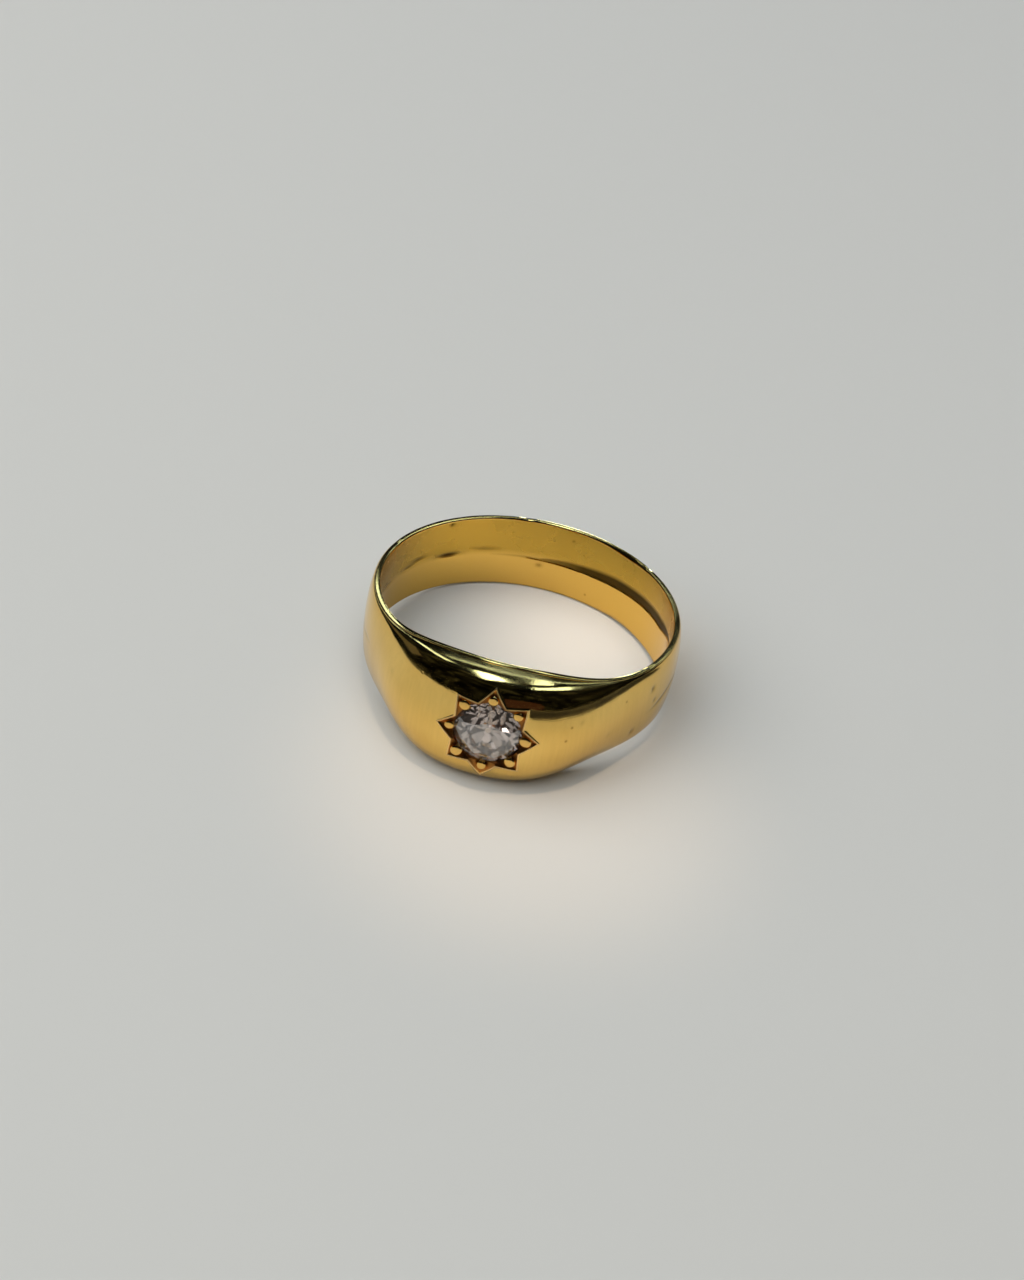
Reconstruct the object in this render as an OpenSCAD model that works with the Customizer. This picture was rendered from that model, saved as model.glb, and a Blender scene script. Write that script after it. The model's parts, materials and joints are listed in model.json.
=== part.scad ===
// Star-set ring: a tapered, domed gold band with one old-cut diamond in an
// eight-point engraved star. All sizes are in millimetres and degrees.
// Angles round the band count from the middle of the head, at -Y, towards +X.

/* [Band] */
// Radius of the round finger hole
finger_r = 8.75; // [7.5:0.05:10.5]
// Width of the band at the back, along the finger
shank_w = 4.8; // [3.5:0.1:6]
// Thickness of the band at the back, on its middle line
shank_t = 0.62; // [0.6:0.01:1.2]
// Thickness of the flat edge that runs round both sides
rim_t = 0.34; // [0.25:0.01:0.45]
// How round the cross-section is at the back: 1 is an ellipse, less is squarer
shank_round = 1.2; // [0.8:0.05:1.3]

/* [Head] */
// Width of the band at the middle of the head
head_w = 7.05; // [7:0.05:10]
// Thickness of the band at the middle of the head
head_t = 2.6; // [2.3:0.05:2.8]
// How round the cross-section is at the middle of the head
head_round = 0.45; // [0.4:0.05:1]
// Angle from the head's middle over which the section grows rounder
round_spread = 33; // [25:1:45]
// How suddenly the section grows rounder
round_power = 4; // [2:0.5:6]
// Angle from the head's middle over which the width falls away
width_spread = 38.5; // [30:0.5:55]
// How suddenly the width falls away
width_power = 2.7; // [2:0.1:4]
// Angle from the head's middle over which the thickness falls away
dome_spread = 40; // [30:0.5:50]
// How suddenly the thickness falls away
dome_power = 3.1; // [2:0.1:4]

/* [Star] */
// Distance from the stone's middle to the tip of each ray
star_r = 2.95; // [2.9:0.05:3.2]
// Distance from the stone's middle to the corners between the rays
neck_r = 2.12; // [2.1:0.01:2.3]
// Depth of each gouged ray where it meets the stone
gouge_d = 0.55; // [0.4:0.05:0.7]
// Turn of the star round the band, away from the head's middle
star_turn = 2.7; // [-4:0.1:4]
// Height of the star above the band's middle line
star_rise = 0.1; // [-0.3:0.05:0.3]
// Radius of each grain of gold that holds the stone
grain_r = 0.32; // [0.25:0.01:0.36]
// Distance from the stone's middle to the middle of each grain
grain_ring_r = 2.2; // [2.15:0.01:2.3]
// Depth of each grain's middle below the surface round it
grain_sink = 0.24; // [0.15:0.01:0.3]

/* [Diamond] */
// Diameter of the stone at its girdle
stone_d = 3.9; // [3.6:0.05:3.95]
// Width of the table as a share of the diameter
table_share = 0.52; // [0.45:0.01:0.6]
// Height from the girdle to the table
crown_h = 0.62; // [0.5:0.01:0.7]
// Thickness of the girdle
girdle_h = 0.09; // [0.06:0.01:0.15]
// Depth from the girdle to the culet
pavilion_h = 1.6; // [1.3:0.05:1.6]
// Width of the culet as a share of the diameter
culet_share = 0.1; // [0.06:0.01:0.15]
// Height of the table above the top of the dome
table_rise = 0.14; // [0:0.01:0.3]
// Gap between the stone and its seat
seat_gap = 0.04; // [0.03:0.01:0.05]

/* [Grooves in the shank] */
// Radius of the round tool that cut both grooves
groove_tool_r = 0.36; // [0.3:0.01:0.4]
// Depth of the groove inside the finger hole
inner_groove_d = 0.12; // [0.08:0.01:0.18]
// Depth of the groove round the outside of the shank
outer_groove_d = 0.08; // [0.05:0.01:0.12]
// Angle from the head at which the grooves begin, on either side
groove_start = 72; // [65:1:110]
// Height of the inner groove above the band's middle line, at the back
inner_groove_rise = 0.3; // [0:0.05:0.5]
// Angle at which the inner groove climbs from the left to the right
inner_groove_slope = 3; // [0:0.5:3]

/* [Hidden] */

gold_colour = [0.83, 0.66, 0.31];
stone_colour = [0.75, 0.75, 0.8];

// Steps of the outer surface round the band and across it
turn_steps = 96;
across_steps = 24;
turn_step = 360 / turn_steps;
across_step = 180 / across_steps;
// The swept body reaches this far into the finger hole before that is cut
inward_r = finger_r - 1;
hole_sides = 180;
small_sides = 48;

dome_r = finger_r + head_t;
rays = 8;
ray_step = 360 / rays;
// The lowest point of each ray lies a little inside the stone's edge
foot_r = stone_d / 2 - 0.2;
stone_r = stone_d / 2;
girdle_top = table_rise - crown_h;
girdle_low = girdle_top - girdle_h;
culet_z = girdle_low - pavilion_h;
culet_r = stone_r * culet_share;
table_r = stone_r * table_share;
clear_h = 1.2;
seat_hole_r = 1.1;

// Share of the head's swelling left at an angle from its middle
function bell(turn, spread, power) = exp(-pow(abs(turn) / spread, power));
// An angle brought to within half a turn of the head's middle
function near(turn) = turn > 180 ? turn - 360 : turn;
function half_width(turn) =
    (shank_w + (head_w - shank_w) * bell(near(turn), width_spread, width_power)) / 2;
function middle_wall(turn) =
    shank_t + (head_t - shank_t) * bell(near(turn), dome_spread, dome_power);
function roundness(turn) =
    shank_round + (head_round - shank_round) * bell(near(turn), round_spread, round_power);
// Wall at a slant from -90 at the lower rim, by 0 at the middle, to 90 at the upper
function wall_at(turn, slant) =
    rim_t + (middle_wall(turn) - rim_t) * pow(max(cos(slant), 0), roundness(turn));
function around(turn, r, z) = [r * sin(turn), -r * cos(turn), z];

// One closed cross-section of the swept body, from the lower rim to the upper,
// with its points closer together towards the rims, where it turns fastest
function section(turn) = concat(
    [for (k = [0 : across_steps])
        let (slant = 90 * sin(-90 + k * across_step))
        around(turn, finger_r + wall_at(turn, slant), half_width(turn) * sin(slant))],
    [around(turn, inward_r, half_width(turn)), around(turn, inward_r, -half_width(turn))]);

// The ring leans back until the rims at the head and at the back both touch
rest_lean = atan((head_w - shank_w) / 2 / (2 * finger_r + rim_t));
rest_height = head_w / 2 * cos(rest_lean) - finger_r * sin(rest_lean);
function leaned_y(p) = p[1] * cos(rest_lean) + p[2] * sin(rest_lean);
table_tip = [0, -dome_r - table_rise, star_rise - table_r];
front_reach = -min(leaned_y(table_tip), min([for (p = section(0)) leaned_y(p)]));
back_reach = max([for (p = section(180)) leaned_y(p)]);
rest_shift = (front_reach - back_reach) / 2;

module at_rest() translate([0, rest_shift, rest_height]) rotate([-rest_lean, 0, 0]) children();

// The stone's own frame: origin on top of the dome, +Z out of the stone
module star_frame() {
    rotate([0, 0, star_turn]) translate([0, -dome_r, star_rise]) rotate([90, 0, 0]) children();
}

module swept_body() {
    rows = [for (i = [0 : turn_steps - 1]) section(i * turn_step)];
    count = len(rows[0]);
    polyhedron(
        points = [for (row = rows) each row],
        faces = [for (i = [0 : turn_steps - 1], j = [0 : count - 1])
            let (i2 = (i + 1) % turn_steps, j2 = (j + 1) % count)
            each [[i * count + j, i * count + j2, i2 * count + j2],
                  [i * count + j, i2 * count + j2, i2 * count + j]]]);
}

// A point on the dome, at a distance and direction from the stone's middle
function dome_point(r, dir) =
    let (turn = r * cos(dir) / dome_r * 180 / PI,
         y = r * sin(dir),
         wall = wall_at(star_turn + turn, asin((y + star_rise) / half_width(star_turn + turn))))
    [(finger_r + wall) * sin(turn), y, (finger_r + wall) * cos(turn) - dome_r];

// Eight V-shaped gouges in one cutter: each rises from its foot to its tip
module star_cutter() {
    corners = 2 * rays;
    edge = [for (k = [0 : corners - 1])
        dome_point(k % 2 == 0 ? star_r : neck_r, k * ray_step / 2)];
    lid = [for (p = edge) [p[0], p[1], clear_h]];
    feet = [for (k = [0 : rays - 1]) dome_point(foot_r, k * ray_step) - [0, 0, gouge_d]];
    first_foot = 2 * corners;
    low_middle = first_foot + rays;
    lid_middle = low_middle + 1;
    polyhedron(
        points = concat(lid, edge, feet, [[0, 0, -gouge_d]], [[0, 0, clear_h]]),
        faces = concat(
            [for (k = [0 : corners - 1]) [lid_middle, (k + 1) % corners, k]],
            [for (k = [0 : corners - 1]) [k, (k + 1) % corners, corners + (k + 1) % corners]],
            [for (k = [0 : corners - 1]) [k, corners + (k + 1) % corners, corners + k]],
            [for (k = [0 : rays - 1]) [corners + 2 * k, corners + 2 * k + 1, first_foot + k]],
            [for (k = [0 : rays - 1])
                [corners + (2 * k + corners - 1) % corners, corners + 2 * k, first_foot + k]],
            [for (k = [0 : rays - 1])
                [first_foot + k, corners + 2 * k + 1, first_foot + (k + 1) % rays]],
            [for (k = [0 : rays - 1]) [first_foot + k, first_foot + (k + 1) % rays, low_middle]]));
}

module grains() {
    for (k = [0 : rays - 1]) {
        translate(dome_point(grain_ring_r, k * ray_step) - [0, 0, grain_sink])
            sphere(r = grain_r, $fn = 24);
    }
}

// The room for the stone, turned in one, with the gap all round, and the hole behind it
module stone_seat() {
    r = stone_r + seat_gap;
    top = girdle_top + seat_gap;
    low = girdle_low - seat_gap;
    // The crown's cone carries on upwards until the grains are well below it
    crown_reach = 0.5;
    inward = crown_reach * (stone_r - table_r) / crown_h;
    rotate_extrude($fn = small_sides) polygon([
        [0, low - pavilion_h], [culet_r + seat_gap, low - pavilion_h], [r, low], [r, top],
        [r - inward, top + crown_reach], [0, top + crown_reach]]);
    translate([0, 0, -head_t - 1]) cylinder(h = head_t + 1 + culet_z + 0.9, r = seat_hole_r,
        $fn = small_sides);
}

// A round groove that runs along the shank, by the back, from side to side
module shank_groove(path_r) {
    rotate([0, 0, groove_start - 90]) rotate_extrude(angle = 360 - 2 * groove_start, $fn = hole_sides)
        translate([path_r, 0]) circle(r = groove_tool_r, $fn = 24);
}

module gold_ring() color(gold_colour) at_rest() {
    difference() {
        union() {
            difference() {
                swept_body();
                star_frame() star_cutter();
            }
            star_frame() grains();
        }
        translate([0, 0, -head_w]) cylinder(h = 2 * head_w, r = finger_r, $fn = hole_sides);
        star_frame() stone_seat();
        translate([0, 0, inner_groove_rise]) rotate([0, -inner_groove_slope, 0])
            shank_groove(finger_r + inner_groove_d - groove_tool_r);
        shank_groove(finger_r + shank_t - outer_groove_d + groove_tool_r);
    }
}

// Old mine cut: points in rings, facets between them. Main facets are centred
// on the eight directions of the rays, and the level of each middle ring
// follows from the flat main facets that it lies on.
module diamond() {
    corners = 2 * rays;
    half_step = ray_step / 2;
    star_ring_r = table_r + (stone_r - table_r) * 0.52;
    lower_ring_r = stone_r * 0.42;
    crown_fall = crown_h / (stone_r - table_r);
    pavilion_fall = pavilion_h / (stone_r - culet_r * cos(half_step));
    star_ring_z = table_rise - (star_ring_r * cos(half_step) - table_r) * crown_fall;
    lower_ring_z = culet_z + (lower_ring_r - culet_r) * cos(half_step) * pavilion_fall;
    function spot(r, dir, z) = [r * cos(dir), r * sin(dir), z];
    function ring(r, z, offset) = [for (k = [0 : rays - 1]) spot(r, k * ray_step + offset, z)];
    table = 0;
    star = rays;
    upper = 2 * rays;
    lower = upper + corners;
    deep = lower + corners;
    culet = deep + rays;
    color(stone_colour) at_rest() star_frame() polyhedron(
        points = concat(
            ring(table_r, table_rise, 0),
            ring(star_ring_r, star_ring_z, half_step),
            [for (k = [0 : corners - 1]) spot(stone_r, k * half_step, girdle_top)],
            [for (k = [0 : corners - 1]) spot(stone_r, k * half_step, girdle_low)],
            ring(lower_ring_r, lower_ring_z, half_step),
            ring(culet_r, culet_z, half_step)),
        faces = concat(
            [[for (k = [rays - 1 : -1 : 0]) table + k]],
            [for (k = [0 : rays - 1]) [table + k, table + (k + 1) % rays, star + k]],
            [for (k = [0 : rays - 1]) each [
                [table + k, star + k, upper + 2 * k],
                [table + k, upper + 2 * k, star + (k + rays - 1) % rays],
                [star + k, upper + 2 * k + 1, upper + 2 * k],
                [star + k, upper + (2 * k + 2) % corners, upper + 2 * k + 1]]],
            [for (k = [0 : corners - 1]) each [
                [upper + k, upper + (k + 1) % corners, lower + (k + 1) % corners],
                [upper + k, lower + (k + 1) % corners, lower + k]]],
            [for (k = [0 : rays - 1]) each [
                [deep + k, lower + 2 * k, lower + 2 * k + 1],
                [deep + k, lower + 2 * k + 1, lower + (2 * k + 2) % corners],
                [deep + (k + rays - 1) % rays, lower + 2 * k, culet + (k + rays - 1) % rays],
                [culet + k, culet + (k + rays - 1) % rays, lower + 2 * k],
                [culet + k, lower + 2 * k, deep + k]]],
            [[for (k = [0 : rays - 1]) culet + k]]));
}

gold_ring();
diamond();
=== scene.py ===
"""Star-set ring: a tapered, domed gold band that lies on its side, with one old-cut diamond sunk in an
eight-point star. The ring's sizes are in millimetres and its angles in degrees until a mesh is made.
Meshes, camera and lights are in metres.
"""
import json

import bpy
import numpy as np
from mathutils import Matrix


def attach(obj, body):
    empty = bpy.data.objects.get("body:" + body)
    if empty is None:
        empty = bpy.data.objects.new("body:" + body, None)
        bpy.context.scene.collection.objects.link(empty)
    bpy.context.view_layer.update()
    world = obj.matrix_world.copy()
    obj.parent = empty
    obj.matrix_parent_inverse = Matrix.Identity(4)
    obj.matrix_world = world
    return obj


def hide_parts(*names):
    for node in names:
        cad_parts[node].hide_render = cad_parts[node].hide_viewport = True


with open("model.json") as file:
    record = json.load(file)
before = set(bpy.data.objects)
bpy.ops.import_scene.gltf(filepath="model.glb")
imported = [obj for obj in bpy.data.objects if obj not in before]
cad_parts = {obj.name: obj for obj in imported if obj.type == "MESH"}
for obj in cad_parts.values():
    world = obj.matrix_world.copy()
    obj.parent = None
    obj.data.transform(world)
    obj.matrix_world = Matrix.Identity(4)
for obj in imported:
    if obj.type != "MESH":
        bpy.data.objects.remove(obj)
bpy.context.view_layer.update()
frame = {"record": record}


# The camera looks down at the head of the ring from the front, turned a little to one side and rolled,
# as it was held over the ring. It is aimed so that the middle of the finger hole lands on its own pixel
# of a frame 1024 by 1280 pixels large.
finger_hole = frame["record"]["mounts"][0]
hole_middle = np.array(finger_hole["pos_m"])
camera_distance = 0.1483
camera_elevation, camera_yaw, camera_roll = np.radians([37.23, 7.31, 10.5])
frame_px = np.array([1024, 1280])
hole_px = np.array([521.8, 631.2])
focal_px = 2500
sensor_mm = 36


def camera_axes(elevation, yaw, roll):
    """Right, up and forward of a camera that looks down by its elevation, is turned about the upright by
    its yaw, and is then rolled about the line of sight."""
    forward = np.array([-np.sin(yaw) * np.cos(elevation), np.cos(yaw) * np.cos(elevation),
                        -np.sin(elevation)])
    level = np.array([np.cos(yaw), np.sin(yaw), 0])
    upright = np.cross(level, forward)
    right = level * np.cos(roll) + upright * np.sin(roll)
    up = upright * np.cos(roll) - level * np.sin(roll)
    return right, up, forward


right, up, forward = camera_axes(camera_elevation, camera_yaw, camera_roll)
aside, below = (hole_px - frame_px / 2) / focal_px * camera_distance
camera_place = np.eye(4)
camera_place[:3, :3] = np.column_stack([right, up, -forward])
camera_place[:3, 3] = hole_middle - forward * camera_distance - right * aside + up * below
camera_data = bpy.data.cameras.new("camera")
camera_data.lens = focal_px / frame_px[1] * sensor_mm
camera_data.sensor_width = sensor_mm
camera_data.clip_start = 0.005
camera_data.clip_end = 20
camera = bpy.data.objects.new("camera", camera_data)
camera.matrix_world = Matrix(camera_place.tolist())
bpy.context.scene.collection.objects.link(camera)
bpy.context.scene.camera = camera


# The floor is a plain pale table top with a matt finish. The ring lies on it, and the polished gold
# mirrors it all along its lower side.
floor_reach = 1.5
floor_colour, floor_roughness = (0.70, 0.715, 0.695), 0.9


def matt(name, colour, roughness):
    """A plain matt finish of one colour."""
    material = bpy.data.materials.new(name)
    material.use_nodes = True
    shader = material.node_tree.nodes["Principled BSDF"]
    shader.inputs["Base Color"].default_value = (*colour, 1)
    shader.inputs["Roughness"].default_value = roughness
    return material


floor_mesh = bpy.data.meshes.new("floor")
floor_mesh.from_pydata([(-floor_reach, -floor_reach, 0), (floor_reach, -floor_reach, 0),
                        (floor_reach, floor_reach, 0), (-floor_reach, floor_reach, 0)], [], [(0, 1, 2, 3)])
floor_mesh.materials.append(matt("pale_table", floor_colour, floor_roughness))
floor = bpy.data.objects.new("floor", floor_mesh)
bpy.context.scene.collection.objects.link(floor)


# The light is a broad soft ceiling and a softbox close by on the left, which the polish doesn't mirror. It
# mirrors a pale wall, a dull red card and the bright panels instead, in a room that is otherwise dark and
# uneven, so that the upper side of the head looks dark.
def place_light(name, azimuth, elevation, distance, width, height, brightness, colour):
    """A rectangular light that faces the ring. Azimuth counts from straight in front of the ring towards
    its right, elevation from the table, distance and sides are in metres, and brightness is the
    radiance of its face, from which the power follows: times its area and pi."""
    turn, rise = np.radians([azimuth, elevation])
    data = bpy.data.lights.new(name, "AREA")
    data.shape = "RECTANGLE"
    data.size, data.size_y = width, height
    data.energy = brightness * width * height * np.pi
    data.color = colour
    light = bpy.data.objects.new(name, data)
    away = np.array([np.sin(turn) * np.cos(rise), -np.cos(turn) * np.cos(rise), np.sin(rise)])
    level = np.array([np.cos(turn), np.sin(turn), 0])
    place = np.eye(4)
    place[:3, :3] = np.column_stack([level, np.cross(away, level), away])
    place[:3, 3] = hole_middle + away * distance
    light.matrix_world = Matrix(place.tolist())
    bpy.context.scene.collection.objects.link(light)
    return light


warm_white, daylight, dull_red = (1, 0.985, 0.96), (0.45, 0.66, 1), (1, 0.45, 0.4)
ceiling = place_light("ceiling", azimuth=-60, elevation=66, distance=1.3, width=2.6, height=2.6,
                      brightness=1.3, colour=warm_white)
side_softbox = place_light("side_softbox", azimuth=-80, elevation=48, distance=0.3, width=0.28, height=0.28,
                           brightness=0.75, colour=warm_white)
# Neither of the two shows in the polish or to the camera, and the ceiling doesn't show through the stone
ceiling.visible_transmission = False
for softbox in (ceiling, side_softbox):
    softbox.visible_glossy = softbox.visible_camera = False
place_light("pale_wall", azimuth=-108, elevation=20, distance=1.0, width=0.34, height=0.26,
            brightness=0.09, colour=warm_white)
red_card = place_light("red_card", azimuth=22, elevation=8, distance=1.0, width=0.9, height=0.34,
                       brightness=0.03, colour=dull_red)
red_card.data.shape = "ELLIPSE"

# Bright panels of the ceiling, a metre above the ring, which only the polish and the stone mirror. Each
# has its four corners, in metres to the right of the ring and behind it, and its brightness.
panel_height = 1.0
panels = {
    "panel_left": ([(-1.20, 1.75), (-1.05, 1.90), (-0.40, 0.78), (-0.50, 0.66)], 3),
    "panel_strip": ([(-0.50, 1.42), (-0.50, 1.50), (0.90, 1.48), (0.90, 1.38)], 4),
    "panel_far": ([(-0.31, 2.70), (-1.37, 12.0), (-0.62, 12.0), (-0.14, 2.70)], 15),
    "panel_near": ([(-0.20, 0.60), (-0.14, 0.76), (-0.01, 0.20), (-0.15, -0.21)], 9),
    "panel_middle": ([(0.06, 1.38), (0.10, 1.65), (0.36, 0.86), (0.17, 0.50)], 4),
    "panel_right": ([(0.30, 0.13), (0.66, 0.84), (0.95, 0.53), (0.40, -0.10)], 4)}
# Three more panels are in front: a broad one that is low to the right, a nearer one, and a small strong
# one. Only the stone shows them, bent and broken up.
stone_panels = {
    "panel_low": ([(-0.10, -10.0), (-0.10, -2.20), (1.70, -1.30), (7.50, -6.00)], 0.9),
    "panel_front": ([(-0.60, -1.50), (-0.60, -0.70), (0.30, -0.70), (0.30, -1.50)], 0.6),
    "panel_spark": ([(0.14, -1.48), (0.14, -1.34), (0.28, -1.34), (0.28, -1.48)], 8)}


def bright_panel(name, corners, brightness, colour):
    """A four-cornered, level panel of even light at the panels' height. It lights nothing: it shows only
    in what mirrors or bends light."""
    mesh = bpy.data.meshes.new(name)
    mesh.from_pydata([tuple(hole_middle + (x, y, panel_height)) for x, y in corners], [], [(0, 1, 2, 3)])
    material = bpy.data.materials.new(name)
    material.use_nodes = True
    shader = material.node_tree.nodes["Principled BSDF"]
    shader.inputs["Base Color"].default_value = (0, 0, 0, 1)
    shader.inputs["Emission Color"].default_value = (*colour, 1)
    shader.inputs["Emission Strength"].default_value = brightness
    mesh.materials.append(material)
    panel = bpy.data.objects.new(name, mesh)
    panel.visible_camera = panel.visible_diffuse = panel.visible_shadow = False
    bpy.context.scene.collection.objects.link(panel)
    return panel


for panel_name, (corners, brightness) in panels.items():
    bright_panel(panel_name, corners, brightness, daylight)
for panel_name, (corners, brightness) in stone_panels.items():
    bright_panel(panel_name, corners, brightness, warm_white).visible_glossy = False

# The polished gold throws a warm glow on the table, narrow and strong in the hole at the back right, and
# wide and weak in front. Each glow is a soft spot straight down, and has its place to the right of the
# origin and behind it in metres, the width of its cone in degrees and its power in watts.
glows = {"glow_in_hole": (0.0030, 0.0060, 1.7, 4.5), "glow_in_front": (0.0030, -0.0100, 3.6, 2.2)}
glow_height, glow_softness, glow_colour = 0.5, 0.004, (1, 0.70, 0.44)
for glow_name, (x, y, cone, watts) in glows.items():
    glow_data = bpy.data.lights.new(glow_name, "SPOT")
    glow_data.energy = watts
    glow_data.color = glow_colour
    glow_data.spot_size = np.radians(cone)
    glow_data.spot_blend = 1
    glow_data.shadow_soft_size = glow_softness
    glow = bpy.data.objects.new(glow_name, glow_data)
    glow.location = (x, y, glow_height)
    glow.visible_glossy = False
    bpy.context.scene.collection.objects.link(glow)

# A dark card lies just above the table to the right. Only the polish mirrors it, and the camera doesn't
# see it. Its corners and its lift are in millimetres.
card_corners = [(15, -29), (30, -19), (31, -5), (19, 5), (300, 110), (300, -600), (150, -600)]
card_lift = 0.4
card_colour, card_roughness = (0.02, 0.02, 0.02), 0.8
card_mesh = bpy.data.meshes.new("dark_card")
card_mesh.from_pydata([(x / 1000, y / 1000, card_lift / 1000) for x, y in card_corners], [],
                      [tuple(range(len(card_corners)))[::-1]])
card_mesh.materials.append(matt("dark_card", card_colour, card_roughness))
card = bpy.data.objects.new("dark_card", card_mesh)
card.visible_camera = card.visible_diffuse = card.visible_shadow = card.visible_transmission = False
bpy.context.scene.collection.objects.link(card)

# The room is a noise of nearly black and dark grey patches over all directions. Each stop of the noise has
# its tone.
room_tones = {0.42: (0.001, 0.001, 0.001), 0.56: (0.007, 0.008, 0.007), 0.68: (0.036, 0.040, 0.038),
              0.80: (0.08, 0.09, 0.095)}
world = bpy.data.worlds.new("room")
world.use_nodes = True
room = world.node_tree
way = room.nodes.new("ShaderNodeTexCoord").outputs["Generated"]
patches = room.nodes.new("ShaderNodeTexNoise")
patches.inputs["Scale"].default_value = 4.5
patches.inputs["Detail"].default_value = 4
patches.inputs["Distortion"].default_value = 0.6
room_ramp = room.nodes.new("ShaderNodeValToRGB")
while len(room_ramp.color_ramp.elements) < len(room_tones):
    room_ramp.color_ramp.elements.new(0.5)
for stop, (place, tone) in zip(room_ramp.color_ramp.elements, room_tones.items()):
    stop.position = place
    stop.color = (*tone, 1)
room.links.new(way, patches.inputs["Vector"])
room.links.new(patches.outputs["Fac"], room_ramp.inputs["Fac"])
room.links.new(room_ramp.outputs["Color"], room.nodes["Background"].inputs["Color"])
bpy.context.scene.world = world
bpy.context.scene.view_settings.view_transform = "Standard"


# The gold ring is one piece of 18 carat yellow gold: the band, the domed head, the star's eight gouged
# rays, the stone's seat and the hole behind it. It was cast or forged, filed to its taper and polished,
# and the star was cut with a graver. Wear has left fine scratches, small dents and two grooves.
lean = np.arctan2(finger_hole["axis"][1], finger_hole["axis"][2])
finger_r = finger_hole["dims"]["r_mm"]
# Width of the band, thickness of its middle and power of its roundness, at the back and at the head
shank_w, shank_t, shank_round = 4.8, 0.62, 1.2
head_w, head_t, head_round = 7.05, 2.6, 0.45
# The angle by which each of the three has gone over from head to back, and how suddenly it does
width_spread, width_power = 38.5, 2.7
dome_spread, dome_power = 40, 3.1
round_spread, round_power = 33, 4
# Thickness of the band at its rims, radii of the rims' outer and inner corners, the wider inner corner
# where wear has rounded it, and the slope of the worn rims on the left
rim_t, lip_r, corner_r, worn_corner_r, worn_slope = 0.34, 0.07, 0.1, 0.24, 0.3
dome_r = finger_r + head_t
# Radii of the star's tips and of the necks between them, its turn and rise from the head's middle, and
# how its floor falls
rays = 8
ray_step = 360 / rays
star_r, neck_r, star_turn, star_rise = 2.95, 2.12, 2.7, 0.1
gouge_slope, gouge_power = 0.46, 1.35
# The burr along the star's edge: height, width and width of its crest, which is rougher and has a painted
# highlight. The floor is less deep than the gouges by burr_shelf, which leaves a narrow shelf beside the
# burr.
burr_h, burr_w, burr_crest_w, burr_shelf = 0.05, 0.09, 0.05, 0.05
# The seat: radius of its wall and height of the wall's foot, the height at which the cone under it ends,
# and the radius of the hole behind the cone
seat_r, seat_floor, cone_low, seat_hole_r = 1.99, -0.74, -1.55, 1.1

# The dents and pits on the outside and the inside, one row each: the angle round the band from the head's
# middle, the height above its middle line, the radius and the depth
outer_dents = [
    (66.4, 0.97, 0.22, 0.050), (68.9, 0.02, 0.16, 0.040), (58.2, -1.49, 0.20, 0.035),
    (37.2, 2.31, 0.16, 0.014), (-34.0, 0.90, 0.18, 0.010), (-22.5, -1.80, 0.16, 0.010),
    (31.0, 1.10, 0.16, 0.012), (44.0, -0.60, 0.20, 0.010), (98.0, 1.30, 0.24, 0.016),
    (151.0, -0.90, 0.22, 0.016), (-118.0, 0.70, 0.24, 0.016), (-160.0, -1.20, 0.20, 0.014)]
inner_pits = [(224.8, 2.12, 0.12, 0.030), (172.9, 1.65, 0.08, 0.018)]
# The nicks in the upper rim: the angle, the half width and the depth
rim_nicks = [(-166.5, 0.25, 0.03), (137.5, 0.22, 0.04), (64.5, 0.20, 0.04), (-104.0, 0.30, 0.02)]
# The slow waves of filing: half the height, the count round the band, the turn in degrees for each
# millimetre across it, and the start
outer_waves = [(0.006, 3, 40, 0), (0.004, 11, -75, 50), (0.003, 23, 60, 110)]
inner_waves = [(0.004, 5, 50, 0), (0.003, 17, -70, 0)]
# The crease round the outside: its line's heights at angles round the band, its width and depth, its two
# ends with their softness, and how weak it is past an angle on the right
crease_turn = [62, 72, 84, 110, 180, 250, 285, 298, 308]
crease_z = [-0.75, -0.48, -0.09, 0.05, 0.0, -0.2, -0.6, -0.23, 0.0]
crease_w, crease_depth = 0.12, 0.05
crease_start, crease_end, crease_soft = 70, 300, 1.5
crease_weak, crease_weak_from, crease_weak_soft = 0.4, 125, 8
# The seam inside: the angles where it starts, has grown narrow and is gone, its width, its depth and the
# width of its sharp lower side. Its upper side is soft over a share of its width, and the share whose
# square root narrows it has a least value.
seam_start, seam_narrow, seam_end = 97, 187, 207
seam_w, seam_depth, seam_sharp = 0.8, 0.06, 0.09
seam_soft, seam_least = 0.35, 0.04
# Over how many degrees it sets in and grows wide at its start, and grows narrow and fades at its end
sets_in_over, widens_over, narrows_over, fades_over = 4, 20, 35, 40
# The seam's dashes on the left: the angle, the height, half the length in degrees and the strength
seam_dashes = [(208, 0.10, 6, 0.4), (224.7, -0.10, 5, 1.2), (240, 0.20, 3.5, 0.7), (246, -0.02, 4, 0.6),
               (262, -0.14, 4, 0.6), (185.3, -0.69, 1.2, 0.6)]
dash_w = 0.14
# Darkening: its share along the crease, and the share of painted shade over the lower rim, which stands
# for the shadow under the ring that the polish mirrors there; how far that shade reaches from the rim,
# the most darkening outside, and the depths at which a dent and a pit are fully darkened
crease_darkening, rim_shade, rim_shade_reach, most_darkening = 0.7, 0.35, 3, 0.8
full_dent, full_pit = 0.07, 0.03


def near(turn):
    """An angle brought to within half a turn of the head's middle."""
    return (turn + 180) % 360 - 180


def swell(turn, spread, power):
    """Share of the head's swelling left at an angle: e to the minus (angle / spread) to a power."""
    return np.exp(-(np.abs(near(turn)) / spread) ** power)


def half_width(turn):
    """Half the band's width along the finger."""
    return (shank_w + (head_w - shank_w) * swell(turn, width_spread, width_power)) / 2


def corner_at(turn):
    """Radius of the rim's inner corner, which wear has rounded more round an angle at the back right."""
    worn_turn, worn_spread = 147, 10
    return corner_r + (worn_corner_r - corner_r) * swell(turn - worn_turn, worn_spread, 2)


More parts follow.
